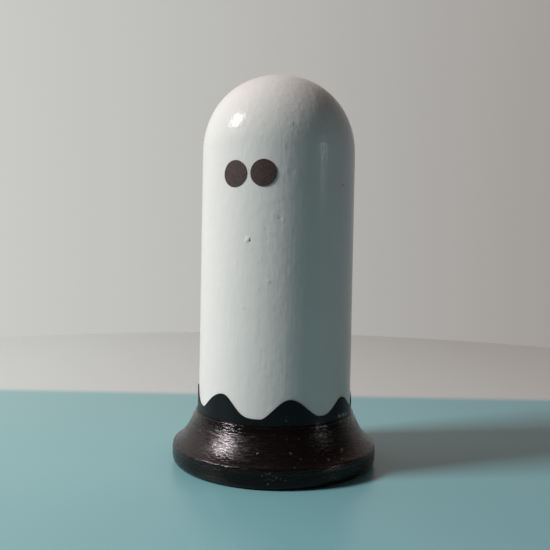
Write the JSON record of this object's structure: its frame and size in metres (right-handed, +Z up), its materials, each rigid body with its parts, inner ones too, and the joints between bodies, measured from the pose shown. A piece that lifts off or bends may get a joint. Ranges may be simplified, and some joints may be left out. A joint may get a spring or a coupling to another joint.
{
  "type": "ghost figurine",
  "caption": "Turned wooden ghost with a domed top, stick-on eyes and a wavy hem strip, tenoned and screwed into a flared turned base; it stands on a shelf as a seasonal decoration.",
  "frame": {"origin": "middle of the foot's underside, on the surface that the figurine stands on", "axes": "+Z up along the turning axis, -Y is the way the ghost looks, +X to the right of someone facing it"},
  "size_m": [0.0666, 0.0666, 0.1255],
  "materials": {
    "white_painted_wood": "brushed gloss enamel over turned wood",
    "stained_wood": "dark brown stain under a satin varnish, with fine turning lines",
    "black_vinyl": "glossy black film",
    "brown_paper": "matt dark brown stick-on paper",
    "zinc_steel": "zinc plated",
    "felt": "black pressed felt"
  },
  "bodies": {
    "root": {"turned_base": "stained_wood", "ghost_column": "white_painted_wood", "hem_strip": "black_vinyl", "left_eye_disc": "brown_paper", "right_eye_disc": "brown_paper", "centre_screw": "zinc_steel", "felt_pad": "felt"}
  },
  "joints": []
}
